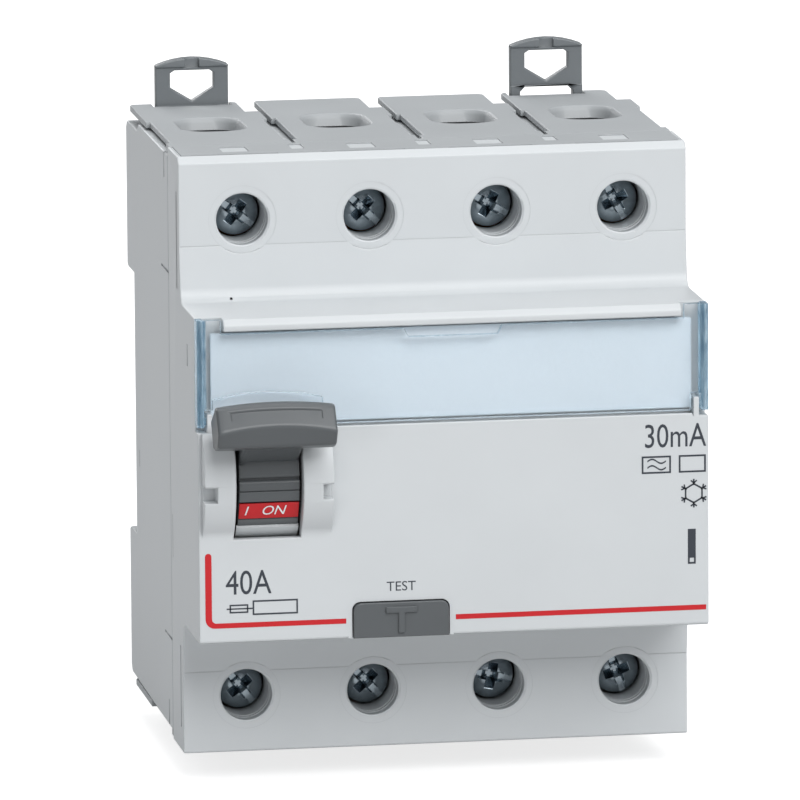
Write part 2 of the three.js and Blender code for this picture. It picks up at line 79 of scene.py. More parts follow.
def moulded_grain():
    """Node group: the fine texture of a mould face, slow colour drift and painted shade in
    crevices.
    """
    group = bpy.data.node_groups.new("Moulded grain", "ShaderNodeTree")
    for name, kind, side in (
        ("Base", "NodeSocketColor", "INPUT"),
        ("Grain size", "NodeSocketFloat", "INPUT"),
        ("Drift", "NodeSocketFloat", "INPUT"),
        ("Gloss", "NodeSocketFloat", "INPUT"),
        ("Color", "NodeSocketColor", "OUTPUT"),
        ("Roughness", "NodeSocketFloat", "OUTPUT"),
        ("Height", "NodeSocketFloat", "OUTPUT"),
    ):
        group.interface.new_socket(name, in_out=side, socket_type=kind)
    nodes, links = group.nodes, group.links
    given = nodes.new("NodeGroupInput")
    made = nodes.new("NodeGroupOutput")
    where = nodes.new("ShaderNodeTexCoord").outputs["Object"]

    fine = nodes.new("ShaderNodeTexNoise")
    fine.inputs["Detail"].default_value = 2.0
    links.new(where, fine.inputs["Vector"])
    links.new(given.outputs["Grain size"], fine.inputs["Scale"])
    slow = nodes.new("ShaderNodeTexNoise")
    slow.inputs["Scale"].default_value = 70.0
    slow.inputs["Detail"].default_value = 4.0
    links.new(where, slow.inputs["Vector"])

    # slow drift lightens and darkens the colour by a few per cent
    centred = nodes.new("ShaderNodeMath")
    centred.operation = "SUBTRACT"
    centred.inputs[1].default_value = 0.5
    links.new(slow.outputs["Fac"], centred.inputs[0])
    scaled = nodes.new("ShaderNodeMath")
    scaled.operation = "MULTIPLY_ADD"
    scaled.inputs[2].default_value = 1.0
    links.new(centred.outputs[0], scaled.inputs[0])
    links.new(given.outputs["Drift"], scaled.inputs[1])
    tint = nodes.new("ShaderNodeVectorMath")
    tint.operation = "SCALE"
    links.new(given.outputs["Base"], tint.inputs[0])
    links.new(scaled.outputs[0], tint.inputs["Scale"])

    # painted shade: ambient occlusion darkens the colour in crevices and recesses
    crevice = nodes.new("ShaderNodeAmbientOcclusion")
    crevice.samples = 6
    crevice.inputs["Distance"].default_value = 0.0012
    crevice_shade = nodes.new("ShaderNodeMapRange")
    crevice_shade.inputs["From Min"].default_value = 0.35
    crevice_shade.inputs["From Max"].default_value = 0.95
    crevice_shade.inputs["To Min"].default_value = 0.80
    crevice_shade.inputs["To Max"].default_value = 1.0
    links.new(crevice.outputs["AO"], crevice_shade.inputs["Value"])
    crevice_shaded = nodes.new("ShaderNodeVectorMath")
    crevice_shaded.operation = "SCALE"
    links.new(tint.outputs["Vector"], crevice_shaded.inputs[0])
    links.new(crevice_shade.outputs["Result"], crevice_shaded.inputs["Scale"])
    # the colour leaves here with the painted crevice shade in it
    links.new(crevice_shaded.outputs["Vector"], made.inputs["Color"])

    shine = nodes.new("ShaderNodeMath")
    shine.operation = "MULTIPLY_ADD"
    shine.inputs[1].default_value = 0.16
    links.new(centred.outputs[0], shine.inputs[0])
    links.new(given.outputs["Gloss"], shine.inputs[2])
    links.new(shine.outputs[0], made.inputs["Roughness"])
    links.new(fine.outputs["Fac"], made.inputs["Height"])
    return group


GRAIN = moulded_grain()


def new_look(name):
    """A material with its nodes, links and shader."""
    look = bpy.data.materials.new(name)
    look.use_nodes = True
    nodes, links = look.node_tree.nodes, look.node_tree.links
    return look, nodes, links, nodes["Principled BSDF"]


def bumped(nodes, links, height, strength, depth):
    """Gives the shader a fine relief from a height, depth in metres."""
    relief = nodes.new("ShaderNodeBump")
    relief.inputs["Strength"].default_value = strength
    relief.inputs["Distance"].default_value = depth
    links.new(height, relief.inputs["Height"])
    links.new(relief.outputs["Normal"], nodes["Principled BSDF"].inputs["Normal"])


def plastic(name, colour, gloss, grain=7000.0, drift=0.08, bump=0.10):
    """A moulded thermoplastic; colour is linear and gloss is its mean roughness."""
    look, nodes, links, shader = new_look(name)
    shader.inputs["IOR"].default_value = 1.49
    texture = nodes.new("ShaderNodeGroup")
    texture.node_tree = GRAIN
    texture.inputs["Base"].default_value = (*colour, 1.0)
    texture.inputs["Grain size"].default_value = grain
    texture.inputs["Drift"].default_value = drift
    texture.inputs["Gloss"].default_value = gloss
    links.new(texture.outputs["Color"], shader.inputs["Base Color"])
    links.new(texture.outputs["Roughness"], shader.inputs["Roughness"])
    bumped(nodes, links, texture.outputs["Height"], bump, 0.00003)
    return look


def merged(node):
    """A CAD node's own shape as one closed skin of flat faces."""
    shape = bmesh.new()
    shape.from_mesh(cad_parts[node].data)
    bmesh.ops.remove_doubles(shape, verts=shape.verts, dist=0.002 * MM)
    flattened(shape)
    return shape


def flattened(shape):
    """Joins faces that lie in one plane."""
    bmesh.ops.dissolve_limit(
        shape,
        angle_limit=math.radians(0.6),
        verts=shape.verts,
        edges=shape.edges,
        delimit={"NORMAL"},
    )
    return shape


def block(shape, x, y, z):
    """Adds a box, from ranges in millimetres, and returns its vertices."""
    made = bmesh.ops.create_cube(shape, size=1)["verts"]
    spans = (x, y, z)
    bmesh.ops.scale(shape, vec=[abs(b - a) * MM for a, b in spans], verts=made)
    bmesh.ops.translate(shape, vec=[(a + b) / 2 * MM for a, b in spans], verts=made)
    return made


def rounded_outline(x, z, corner, steps=6):
    """Points round a rectangle with round corners."""
    points = []
    for quarter, (u, v) in enumerate(((x[1], z[1]), (x[0], z[1]), (x[0], z[0]), (x[1], z[0]))):
        u -= math.copysign(corner, u - sum(x) / 2)
        v -= math.copysign(corner, v - sum(z) / 2)
        for step in range(steps + 1):
            angle = math.radians(90 * quarter + 90 * step / steps)
            points.append((u + corner * math.cos(angle), v + corner * math.sin(angle)))
    return points


def prism_y(outline, y):
    """A closed bar along Y with an outline of (x, z) points."""
    shape = bmesh.new()
    rims = [[shape.verts.new(Vector((u, d, v)) * MM) for u, v in outline] for d in y]
    for rim in rims:
        shape.faces.new(rim)
    count = len(outline)
    for n in range(count):
        m = (n + 1) % count
        shape.faces.new((rims[0][n], rims[0][m], rims[1][m], rims[1][n]))
    bmesh.ops.recalc_face_normals(shape, faces=shape.faces)
    return shape


def turned(shape, profile, centre, steps=48, axis=(0, 1, 0)):
    """Adds a turned shape: the profile gives (radius, distance along the axis)."""
    axis = Vector(axis)
    out = Vector((0, 0, 1)) if abs(axis.z) < 0.5 else Vector((1, 0, 0))
    middle = Vector(centre) * MM
    verts = [shape.verts.new(middle + out * r * MM + axis * d * MM) for r, d in profile]
    edges = [shape.edges.new(pair) for pair in zip(verts, verts[1:])]
    spun = bmesh.ops.spin(
        shape,
        geom=verts + edges,
        cent=middle,
        axis=axis,
        angle=2 * math.pi,
        steps=steps,
        use_merge=True,
    )
    # the spin's first and last rings meet, so what this profile reaches is joined up
    near = verts + [item for item in spun["geom_last"] if isinstance(item, bmesh.types.BMVert)]
    skin, queue = set(), [v for v in near if v.is_valid]
    while queue:
        vert = queue.pop()
        if vert in skin:
            continue
        skin.add(vert)
        queue.extend(edge.other_vert(vert) for edge in vert.link_edges)
    ordered = [vert for vert in shape.verts if vert in skin]
    bmesh.ops.remove_doubles(shape, verts=ordered, dist=0.001 * MM)
    return shape


def scratch(shape):
    """A passing object for a modifier to work on."""
    mesh = bpy.data.meshes.new("scratch")
    bmesh.ops.recalc_face_normals(shape, faces=shape.faces)
    shape.to_mesh(mesh)
    shape.free()
    thing = bpy.data.objects.new("scratch", mesh)
    bpy.context.scene.collection.objects.link(thing)
    return thing


def carved(shape, *tools, operation="DIFFERENCE"):
    """The shape with closed tools cut away (or joined on)."""
    whole = scratch(shape)
    cutters = [scratch(tool) for tool in tools]
    for cutter in cutters:
        cut = whole.modifiers.new("cut", "BOOLEAN")
        cut.solver = "EXACT"
        cut.operation = operation
        cut.object = cutter
    graph = bpy.context.evaluated_depsgraph_get()
    result = bpy.data.meshes.new_from_object(whole.evaluated_get(graph))
    left = bmesh.new()
    left.from_mesh(result)
    bpy.data.meshes.remove(result)
    for thing in (whole, *cutters):
        mesh = thing.data
        bpy.data.objects.remove(thing)
        bpy.data.meshes.remove(mesh)
    bmesh.ops.remove_doubles(left, verts=left.verts, dist=0.002 * MM)
    return flattened(left)


def rounded(shape, width, segments=2, angle=25.0, where=None):
    """Rounds convex edges sharper than an angle, by a width in millimetres.

    Faces of more than four corners are triangulated first, as a bevel can spill out of a
    concave one. The test says where to round, given an edge's middle in millimetres.
    """
    limit = math.radians(angle)
    large = [face for face in shape.faces if len(face.verts) > 4]
    bmesh.ops.triangulate(shape, faces=large, quad_method="BEAUTY", ngon_method="BEAUTY")
    sharp = [
        edge
        for edge in shape.edges
        if len(edge.link_faces) == 2
        and edge.is_convex
        and edge.calc_face_angle(0.0) > limit
        and (where is None or where((edge.verts[0].co + edge.verts[1].co) / 2 / MM))
    ]
    bmesh.ops.bevel(
        shape,
        geom=sharp,
        offset=width * MM,
        offset_type="OFFSET",
        segments=segments,
        profile=0.5,
        affect="EDGES",
        material=-1,
        clamp_overlap=False,
        loop_slide=True,
    )
    return shape


def piece(name, shape, look, body, stands_for=(), sharp=40.0):
    """Makes the finished object, which rides on a body and stands for CAD nodes."""
    mesh = bpy.data.meshes.new(name)
    shape.to_mesh(mesh)
    shape.free()
    for one in look if isinstance(look, (list, tuple)) else [look]:
        mesh.materials.append(one)
    mesh.shade_smooth()
    mesh.set_sharp_from_angle(angle=math.radians(sharp))
    thing = bpy.data.objects.new(name, mesh)
    bpy.context.scene.collection.objects.link(thing)
    even = thing.modifiers.new("Even shading", "WEIGHTED_NORMAL")
    even.keep_sharp = True
    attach(thing, body)
    for node in stands_for:
        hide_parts(node)
    return thing


CASING = plastic("Light grey casing", (0.60, 0.625, 0.64), 0.42)

# a screwdriver hole, as (radius, depth below the shoulder): chamfered, with two rings
HOLE = [
    *((0, -3.0), (4.75, -3.0), (4.75, 0.05), (3.9, 0.05), (3.62, 0.3)),
    *((3.62, 1.7), (4.0, 1.8), (4.0, 2.2), (3.62, 2.3)),
    *((3.62, 2.9), (4.0, 3.0), (4.0, 3.4), (3.62, 3.5)),
    *((3.62, 9.0), (0, 9.0)),
]
bores = bmesh.new()
for _, _, z, _ in ROWS:
    for x in POLES:
        turned(bores, HOLE, (x, SHOULDER, z), steps=64)

# the rebates that the plates and strips lie in, and the narrow seams in front of them
INSIDE = (-35.1, 35.1)
ledges = bmesh.new()
block(ledges, INSIDE, (-42.7, -33), (41.1, 42.5))
block(ledges, INSIDE, (-42.7, -33), (-43.5, -42.5))
seams = bmesh.new()
block(seams, INSIDE, (-42.72, -42.42), (40.6, 42.5))
block(seams, INSIDE, (-42.72, -42.42), (-43.5, -42.0))

# filled out: the nose round the button, a sill under the window, the lower shoulder's edge
foot = bmesh.new()
block(foot, (-15.0, -0.1), (NOSE, -58.4), (-24, -18.2))
block(foot, (-33.4, 33.4), (NOSE, -59.6), (5.3, 5.85))
block(foot, (-HALF, HALF), (SHOULDER, -42.9), (-42.6, -41.6))
button_hole = prism_y(rounded_outline((-14.36, -0.74), (-30, -18.84), 1.15), (-61, -58.15))

# slots and marks in the flanks, a crease across each shoulder and a pin hole over the window
details = bmesh.new()
for side in (-1, 1):
    shallow = sorted((side * 35.35, side * 36.5))
    deep = sorted((side * 35.2, side * 36.5))
    block(details, shallow, (-42.4, -41.5), (22.6, 36.2))
    block(details, shallow, (-35.8, -35.4), (-16.4, -10.3))
    block(details, shallow, (-42.4, -41.5), (-39.2, -27.6))
    block(details, deep, (-51.4, -50.6), (13.3, 16.4))
for z in (28.75, -31.15):
    block(details, (-36, 36), (-44.4, -43.95), (z - 0.06, z + 0.06))
turned(details, [(0, -2), (0.2, -2), (0.2, 1.2), (0, 1.2)], (-28.55, -45.2, 21.5), steps=12)


def outside_of_cover(p):
    """Edges that show: not those of the window's bed or inside the terminal ends."""
    if p.y < -57.6:
        return p.z < 19.2 or abs(p.x) > 31.5 or p.y < -59
    inner = abs(p.x) < 34.1
    if inner and -22.6 < p.z < 19.7:
        return False
    if inner and p.y > -42.9 and -41.5 < p.z < 40.3:
        return False
    if inner and p.y > -42.7:
        return abs(p.z) > 40.5
    return p.y < SHOULDER + 0.4 or abs(p.x) > 35.0


cover = carved(merged("front_cover"), foot, operation="UNION")
cover = carved(cover, ledges)
rounded(cover, 0.22, 2, where=outside_of_cover)
cover = carved(cover, seams, bores, button_hole, details)
piece("cover_moulding", cover, CASING, "root", ["front_cover"])

# ------------------------------------------------------------------ rear base
# The rear half of the casing, moulded in the same polyamide, with the channel for the rail
# across its back. Slits beside its edges leave the snap hooks room to bend.

base = merged("rear_base")
slits = bmesh.new()
for side in (-1, 1):
    deep = sorted((side * 35.2, side * 36.5))
    shallow = sorted((side * 35.4, side * 36.5))
    for z in ((36.4, 41), (-42, -37.6)):
        block(slits, deep, (-30.9, -30.1), z)
    block(slits, deep, (-3.9, -3.4), (-9.4, -7.0))
    for z in ((23.4, 23.8), (-28.6, -28.2)):
        block(slits, shallow, (-34.5, -27.2), z)


def outside_of_base(p):
    """Edges that show: on the flanks, the back and both ends."""
    return abs(p.x) > 35.3 or p.y > -0.2 or p.z > 38.5 or p.z < -41.0


rounded(base, 0.22, 2, where=outside_of_base)
base = carved(base, slits)
piece("base_moulding", base, CASING, "root", ["rear_base"])

# ------------------------------------------------------------------ terminal plates
# Eight snap-in plates close the cable ends of the casing. They are moulded in a darker grey
# polyamide, each with a dished collar that guides a cable into its clamp.

PLATES = plastic("Mid grey plates", (0.40, 0.42, 0.432), 0.45, grain=8000.0)


def funnel(x, plate, side):
    """A dished mouth for a cable entry: wide at the face, then straight."""
    shape = bmesh.new()
    loops = []
    # each ring's depth below the face, half sizes and corner radius
    for depth, half_x, half_y, corner in (
        (-0.6, 5.35, 7.2, 4.4),
        (0.0, 4.95, 6.8, 4.2),
        (0.2, 4.6, 6.45, 3.85),
        (0.8, 4.3, 6.15, 3.3),
        (1.75, 3.95, 5.8, 2.6),
        (2.4, 3.95, 5.8, 2.6),
    ):
        z = plate - side * depth
        ring = bmesh.ops.create_circle(shape, cap_ends=False, radius=corner * MM, segments=48)
        for vert in ring["verts"]:
            for way, shift in ((0, half_x - corner), (1, half_y - corner)):
                if abs(vert.co[way]) > 1e-7:
                    vert.co[way] += math.copysign(shift, vert.co[way]) * MM
            vert.co += Vector((x, -15.0, z)) * MM
        loops.append(list({e for v in ring["verts"] for e in v.link_edges}))
    for near, far in zip(loops, loops[1:]):
        bmesh.ops.bridge_loops(shape, edges=near + far)
    for loop in (loops[0], loops[-1]):
        bmesh.ops.contextual_create(shape, geom=loop)
    return shape


for row, side, _, plate in ROWS:
    rim = sorted((plate - side * 0.05, plate - side * 1.75))
    for number, x in enumerate(POLES, 1):
        node = f"terminal_cover_{row}_{number}"
        lid = merged(node)
        rounded(lid, 0.15, 2, where=lambda p: abs(p.z - plate) < 0.95)
        collar = bmesh.new()
        block(collar, (x - 5.2, x + 5.2), (-22, -8), rim)
        lid = carved(lid, collar, operation="UNION")
        lid = carved(lid, funnel(x, plate, side))
        piece(f"plate_{row}_{number}", lid, PLATES, "root", [node])

# ------------------------------------------------------------------ marking strips
# A thin strip in the plates' plastic lies along the front of each terminal end. Windows in it
# show the white cover beneath, and tabs at the pole joints tie it to the plates.

for row, side, _, plate in ROWS:
    level = sorted((plate - side * 0.17, plate + side * 0.06))
    strip = bmesh.new()
    block(strip, (-34.9, 34.9), (-42.35, -34.15), level)
    tabs = bmesh.new()
    for joint in POLE_JOINTS:
        block(tabs, (joint - 3.6, joint + 2.4), (-42.68, -42.0), level)
    strip = carved(strip, tabs, operation="UNION")
    windows = bmesh.new()
    through = (plate - 1.5, plate + 1.5)
    for x in POLES:
        block(windows, (x - 2.1, x + 1.6), (-40.6, -36.2), through)
    for joint in POLE_JOINTS:
        block(windows, (joint - 1.2, joint + 0.6), (-39.6, -35.5), through)
    strip = carved(strip, windows)
    rounded(strip, 0.05, 2)
    piece(f"marking_strip_{row}", strip, PLATES, "root", [])

# ------------------------------------------------------------------ rail clips
# Four sliding clips hold the device on the rail. Each is a flat moulding in glass filled grey
# polyamide, pulled by the shield-shaped eye at its outer end.

CLIP = plastic("Grey clip polyamide", (0.165, 0.18, 0.19), 0.36, grain=5000.0, drift=0.16)
# each clip's name, the X of its middle, the Z of its crown and the way it points
CLIPS = (
    ("upper_left", -26.6, 48.0, 1),
    ("upper_right", 24.4, 49.3, 1),
    ("lower_left", -26.6, -46.7, -1),
    ("lower_right", 24.4, -46.7, -1),
)
for name, x, crown, side in CLIPS:
    node = f"din_clip_{name}"
    clip = merged(node)
    thinned = bmesh.new()
    eye = sorted((crown - side * 1.35, crown - side * 6.75))
    block(thinned, (x - 6, x + 6), (2.0, 2.86), eye)
    clip = carved(clip, thinned)
    rounded(clip, 0.22, 3)
    piece(f"rail_clip_{name}", clip, CLIP, f"{name}_clip", [node])

# ------------------------------------------------------------------ label card
# A die-cut card with rounded corners that slides in behind the window, for circuit names.


def card_stock():
    """Pale matt card with a fine paper fibre."""
    look, nodes, links, shader = new_look("Label card")
    where = nodes.new("ShaderNodeTexCoord").outputs["Object"]
    fibre = nodes.new("ShaderNodeTexNoise")
    fibre.inputs["Scale"].default_value = 2600.0
    fibre.inputs["Detail"].default_value = 6.0
    fibre.inputs["Distortion"].default_value = 0.6
    links.new(where, fibre.inputs["Vector"])
    shade = nodes.new("ShaderNodeMix")
    shade.data_type = "RGBA"
    shade.inputs["A"].default_value = (0.69, 0.775, 0.845, 1)
    shade.inputs["B"].default_value = (0.74, 0.825, 0.89, 1)
    links.new(fibre.outputs["Fac"], shade.inputs["Factor"])
    links.new(shade.outputs["Result"], shader.inputs["Base Color"])
    shader.inputs["Roughness"].default_value = 0.75
    bumped(nodes, links, fibre.outputs["Fac"], 0.15, 0.00002)
    return look


card = bmesh.new()
block(card, (-33.5, 33.5), (-58.3, -58.0), (6.35, 19.0))
corners = [e for e in card.edges if abs((e.verts[0].co - e.verts[1].co).y) > 0.2 * MM]
bmesh.ops.bevel(
    card, geom=corners, offset=0.3 * MM, segments=3, profile=0.5, affect="EDGES", material=-1
)
rounded(card, 0.05, 1)
piece("label_insert", card, card_stock(), "root", ["label_card"])

# ------------------------------------------------------------------ label window
# A flap injection moulded in clear polycarbonate, held by a pin at each lower corner that it
# hinges open on. Its edges and end walls look pale blue, with a painted glow and painted
# highlights.


def clear_plastic(name, colour, roughness, clear, glow):
    """Clear plastic; glow is a painted glow, and an edge that has it gets painted light streaks
    too. Clear is the alpha.
    """
    look, nodes, links, shader = new_look(name)
    shader.inputs["Base Color"].default_value = (*colour, 1)
    shader.inputs["Roughness"].default_value = roughness
    shader.inputs["IOR"].default_value = 1.5
    shader.inputs["Transmission Weight"].default_value = 1.0
    shader.inputs["Alpha"].default_value = clear
    # painted glow: the emission stands for light gathered in the plastic, not a lamp
    shader.inputs["Emission Color"].default_value = (0.30, 0.68, 1.0, 1)
    shader.inputs["Emission Strength"].default_value = glow
    where = nodes.new("ShaderNodeTexCoord").outputs["Object"]
    if glow:
        # painted light: long bright and dark streaks stand for light piped along the edge
        stretch = nodes.new("ShaderNodeMapping")
        stretch.inputs["Scale"].default_value = (1, 1, 0.12)
        links.new(where, stretch.inputs["Vector"])
        streak = nodes.new("ShaderNodeTexNoise")
        streak.inputs["Scale"].default_value = 2200.0
        streak.inputs["Detail"].default_value = 3.0
        links.new(stretch.outputs["Vector"], streak.inputs["Vector"])
        spread = nodes.new("ShaderNodeMapRange")
        spread.inputs["From Min"].default_value = 0.38
        spread.inputs["From Max"].default_value = 0.62
        links.new(streak.outputs["Fac"], spread.inputs["Value"])
        shade = nodes.new("ShaderNodeMix")
        shade.data_type = "RGBA"
        shade.inputs["A"].default_value = (*[c * 0.45 for c in colour], 1)
        shade.inputs["B"].default_value = (0.80, 0.93, 1.0, 1)
        links.new(spread.outputs["Result"], shade.inputs["Factor"])
        links.new(shade.outputs["Result"], shader.inputs["Base Color"])
    ripple = nodes.new("ShaderNodeTexNoise")
    ripple.inputs["Scale"].default_value = 160.0
    links.new(where, ripple.inputs["Vector"])
    bumped(nodes, links, ripple.outputs["Fac"], 0.05, 0.0001)
    return look


CLEAR = clear_plastic("Clear polycarbonate", (0.93, 0.975, 1.0), 0.04, 0.3, 0.0)
# the cut edges carry a painted glow and painted bright streaks
CUT_EDGE = clear_plastic("Clear polycarbonate edge", (0.30, 0.52, 0.70), 0.12, 0.9, 0.06)
WALL = 34.3  # X of the end walls' inner faces
window = merged("label_window")
rounded(window, 0.12, 2)
for x in (-WALL, WALL):
    parts = window.verts[:] + window.edges[:] + window.faces[:]
    bmesh.ops.bisect_plane(window, geom=parts, plane_co=(x * MM, 0, 0), plane_no=(1, 0, 0))
for face in window.faces:
    middle = face.calc_center_median() / MM
    rim = abs(middle.x) > WALL or abs(face.normal.y) <= 0.6
    face.material_index = 1 if rim else 0
piece("window_flap", window, [CLEAR, CUT_EDGE], "window", ["label_window"])

# ------------------------------------------------------------------ toggle
# The operating toggle: a drum between the cheeks of the nose and a broad bar with a bowed
# crown to push on, moulded in one piece in dark grey. Fine grooves run across the drum above
# the flag, and a fine line follows the bar's edge.

DARK = plastic("Dark grey toggle", (0.098, 0.107, 0.113), 0.36, grain=6000.0, drift=0.14)
AXIS = Vector((0, -52.1, -1.5))  # the drum's axis, which lies along X
LIFT = math.radians(31.7)  # how far the bar points upwards at rest
OUT = Vector((0, -math.cos(LIFT), math.sin(LIFT)))
ACROSS = Vector((0, math.sin(LIFT), math.cos(LIFT)))
GRIP = (-34.2, -17.7)  # the bar's ends in X
DRUM = (-30.2, -21.7)  # the slot's sides in X


def lever_edges(p):
    """Edges of the bar and of the drum's front."""
    local = p - AXIS
    return local.dot(OUT) > 9.8 or local.length < 12 and p.y < -55


toggle = rounded(merged("toggle_lever"), 0.38, 3, angle=30.0, where=lever_edges)
grooves = []
# two grooves along the drum
for angle, width, depth in ((176.1, 0.4, 0.5), (186.3, 0.2, 0.25)):
    groove = bmesh.new()
    cut = block(groove, DRUM, (-width / 2, width / 2), (9.6 - depth, 10.6))
    turn = Matrix.Rotation(math.radians(angle - 90), 4, "X")
    bmesh.ops.transform(groove, matrix=turn, verts=cut)
    bmesh.ops.translate(groove, vec=AXIS * MM, verts=cut)
    grooves.append(groove)
# the line on the bar: a long cut and a short one at each end, 0.1 mm into its sloping face
for x, across in (
    ((-32.3, -19.6), (0.72, 0.9)),
    ((-32.3, -32.12), (-0.2, 0.9)),
    ((-19.78, -19.6), (-0.2, 0.9)),
):
    groove = bmesh.new()
    for vert in block(groove, x, (19.72, 21.0), across):
        local = vert.co / MM
        if local.y < 20:
            local.y = 19.86 - (local.z - 1.7) * 0.129 - 0.1
        vert.co = (Vector((local.x, 0, 0)) + AXIS + OUT * local.y + ACROSS * local.z) * MM
    grooves.append(groove)
toggle = carved(toggle, *grooves)
middle = (GRIP[0] + GRIP[1]) / 2
half = (GRIP[1] - GRIP[0]) / 2
SLICES = 16  # so that the long faces can bend
for step in range(1, SLICES):
    x = GRIP[0] + (GRIP[1] - GRIP[0]) * step / SLICES
    bmesh.ops.bisect_plane(
        toggle,
        geom=toggle.verts[:] + toggle.edges[:] + toggle.faces[:],
        dist=0.0005 * MM,
        plane_co=(x * MM, 0, 0),
        plane_no=(1, 0, 0),
    )
for vert in toggle.verts:
    local = vert.co / MM - AXIS
    out, across = local.dot(OUT), local.dot(ACROSS)
    if out < 16.0:
        continue
    # bow is 1 in the middle and 0 at both ends; the rear edge rises and the ridge dips
    bow = 1 - min(1.0, abs(vert.co.x / MM - middle) / half) ** 2
    rear = max(0.0, min(1.0, (across + 1.4) / 3.1))
    ridge = max(0.0, 1 - abs(across + 1.4) / 2.0) if out > 19.0 else 0.0
    lift = rear * (0.5 * bow - 0.15) + ridge * (0.95 * bow - 0.85) * (1 - rear)
    vert.co += ACROSS * lift * MM
    if out > 18.5:
        vert.co += OUT * (0.3 * bow - 0.3) * MM
piece("toggle_moulding", toggle, DARK, "toggle", ["toggle_lever"])

# ------------------------------------------------------------------ on flag
# A red insert let into the drum, with white marks, that shows only while the contacts are
# closed. Below it a thin pale shutter rides on the drum and closes the foot of the slot.

RED = plastic("Signal red insert", (0.56, 0.009, 0.014), 0.34, grain=6000.0)
WHITE_INK = plastic("White print", (0.80, 0.81, 0.82), 0.5, grain=9000.0, bump=0.05)
flag = merged("on_flag")
rounded(flag, 0.08, 2)
piece("flag_insert", flag, RED, "toggle", ["on_flag"])
section = []
for radius, angles in ((9.95, range(220, 237, 2)), (9.5, range(236, 219, -2))):
    for angle in map(math.radians, angles):
        section.append(Vector((0, radius * math.cos(angle), radius * math.sin(angle))))
shutter = bmesh.new()
for x in (-30.3, -21.7):
    rim = [shutter.verts.new((AXIS + Vector((x, *p.yz))) * MM) for p in section]
    shutter.faces.new(rim)
bmesh.ops.bridge_loops(shutter, edges=shutter.edges[:])
bmesh.ops.recalc_face_normals(shutter, faces=shutter.faces)
piece("slot_shutter", shutter, CASING, "toggle", [])


def printed(name, words, size, place, look, body, facing=None, shear=0.0, across=1.0):
    """Printed letters: flat outlines a few hundredths of a millimetre thick.

    Size and place are in millimetres, and across squeezes the letters sideways.
    """
    curve = bpy.data.curves.new(name, "FONT")
    curve.body = words
    curve.size = size * MM
    curve.shear = shear
    curve.align_x = "CENTER"
    curve.align_y = "CENTER"
    curve.extrude = 0.012 * MM
    curve.resolution_u = 4
    text = bpy.data.objects.new(name, curve)
    bpy.context.scene.collection.objects.link(text)
    graph = bpy.context.evaluated_depsgraph_get()
    mesh = bpy.data.meshes.new_from_object(text.evaluated_get(graph))
    bpy.data.objects.remove(text)
    bpy.data.curves.remove(curve)
    shape = bmesh.new()
    shape.from_mesh(mesh)
    bpy.data.meshes.remove(mesh)
    bmesh.ops.remove_doubles(shape, verts=shape.verts, dist=0.0005 * MM)
    turn = facing or Matrix.Rotation(math.radians(90), 4, "X")
    squeeze = Matrix.Diagonal((across, 1, 1, 1))
    move = Matrix.Translation(Vector(place) * MM)
    bmesh.ops.transform(shape, matrix=move @ turn @ squeeze, verts=shape.verts)
    return piece(name, shape, look, body, [])


FLAG_ANGLE = math.radians(204.0)
flag_out = Vector((0, math.cos(FLAG_ANGLE), math.sin(FLAG_ANGLE)))
flag_face = Matrix.Rotation(FLAG_ANGLE - math.pi / 2, 4, "X")
flag_spot = AXIS + flag_out * 9.64
for name, words, x in (("flag_mark_line", "I", -29.2), ("flag_mark_word", "ON", -25.4)):
    spot = (x, *flag_spot.yz)
    printed(name, words, 2.1, spot, WHITE_INK, "toggle", flag_face, shear=0.25)

# ------------------------------------------------------------------ test button
# A dark grey push button with a raised T, which stands a little proud of the nose and is
# returned by a small spring.

button = merged("test_button")
rounded(button, 0.16, 3, where=lambda p: p.y < -59)
piece("button_moulding", button, DARK, "button", ["test_button"])

# ------------------------------------------------------------------ terminal screws
# Eight zinc plated steel screws with a combined cross and slot recess. Each stops at its own
# angle, deep in its hole, and lifts the cage behind it as it turns.


def plated(name, colour, roughness, scale, wear, dents=0.00003):
    """Bright or plated metal: streaked, with duller patches and fine dents."""
    look, nodes, links, shader = new_look(name)
    shader.inputs["Metallic"].default_value = 1.0
    where = nodes.new("ShaderNodeTexCoord").outputs["Object"]
    streak = nodes.new("ShaderNodeTexNoise")
    streak.inputs["Scale"].default_value = scale
    streak.inputs["Detail"].default_value = 5.0
    streak.inputs["Distortion"].default_value = 1.2
    links.new(where, streak.inputs["Vector"])
    shade = nodes.new("ShaderNodeMix")
    shade.data_type = "RGBA"
    shade.inputs["A"].default_value = (*[c * 0.72 for c in colour], 1)
    shade.inputs["B"].default_value = (*colour, 1)
    links.new(streak.outputs["Fac"], shade.inputs["Factor"])
    links.new(shade.outputs["Result"], shader.inputs["Base Color"])
    dull = nodes.new("ShaderNodeMapRange")
    dull.inputs["To Min"].default_value = roughness
    dull.inputs["To Max"].default_value = roughness + wear
    links.new(streak.outputs["Fac"], dull.inputs["Value"])
    links.new(dull.outputs["Result"], shader.inputs["Roughness"])
    bumped(nodes, links, streak.outputs["Fac"], 0.25, dents)
    return look


ZINC = plated("Blue zinc plating", (0.44, 0.51, 0.56), 0.08, 900.0, 0.25, 0.00012)
TURNS = {"top": (38, 44, 30, 62), "bottom": (52, 47, 12, 71)}  # degrees, pole by pole
HEAD = -37.5  # Y of the heads' outer face
# a screw as (radius, depth below that face): a domed head, then a ringed shank
SCREW = [(0, -0.25), (1.4, -0.2), (2.3, 0.05), (2.95, 0.4), (3.28, 0.85), (3.28, 3.0), (3.1, 3.2)]
SCREW.append((2.3, 3.2))
for turn in range(7):
    SCREW += [(2.3, 3.9 + turn * 1.3), (1.95, 4.3 + turn * 1.3), (2.3, 4.7 + turn * 1.3)]
SCREW += [(2.0, 13.2), (0, 13.3)]
